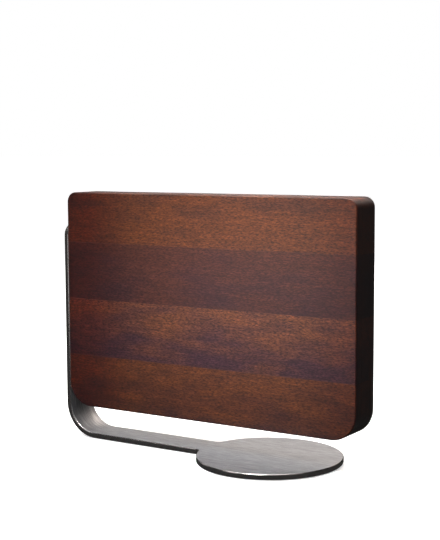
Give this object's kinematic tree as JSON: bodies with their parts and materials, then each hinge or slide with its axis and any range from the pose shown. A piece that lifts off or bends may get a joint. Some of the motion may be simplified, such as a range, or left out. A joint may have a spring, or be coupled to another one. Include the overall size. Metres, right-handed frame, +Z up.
{
  "type": "knife magnetic rack",
  "caption": "Free-standing double-sided magnetic knife rack: a dark wooden board on edge, held at one end by a bent steel strap with a round foot.",
  "frame": {"origin": "on the table, under the middle of the whole rack's box", "axes": "+X along the board, away from the upright strap; -Y out of the front face; +Z up"},
  "size_m": [0.356, 0.15, 0.27],
  "materials": {
    "heat_treated_beech_red": "oiled",
    "heat_treated_beech_dark": "oiled",
    "nickel_plated_magnet": "nickel plated",
    "mild_steel": "bare rolled",
    "brass": "turned",
    "stainless_screw": "bright",
    "brushed_stainless_steel": "brushed",
    "anti_slip_rubber": "matt"
  },
  "bodies": {
    "root": {"front_bottom_stave": "heat_treated_beech_dark", "front_lower_stave": "heat_treated_beech_red", "front_upper_stave": "heat_treated_beech_dark", "front_top_stave": "heat_treated_beech_red", "core_bottom_stave": "heat_treated_beech_dark", "core_lower_stave": "heat_treated_beech_red", "core_upper_stave": "heat_treated_beech_dark", "core_top_stave": "heat_treated_beech_red", "rear_bottom_stave": "heat_treated_beech_dark", "rear_lower_stave": "heat_treated_beech_red", "rear_upper_stave": "heat_treated_beech_dark", "rear_top_stave": "heat_treated_beech_red", "front_upper_magnets": "nickel_plated_magnet", "front_upper_keeper": "mild_steel", "front_top_magnets": "nickel_plated_magnet", "front_top_keeper": "mild_steel", "rear_upper_magnets": "nickel_plated_magnet", "rear_upper_keeper": "mild_steel", "rear_top_magnets": "nickel_plated_magnet", "rear_top_keeper": "mild_steel", "threaded_inserts": "brass", "countersunk_screws": "stainless_screw", "stand": "brushed_stainless_steel", "foot_pad": "anti_slip_rubber", "strap_pad": "anti_slip_rubber"}
  },
  "joints": []
}
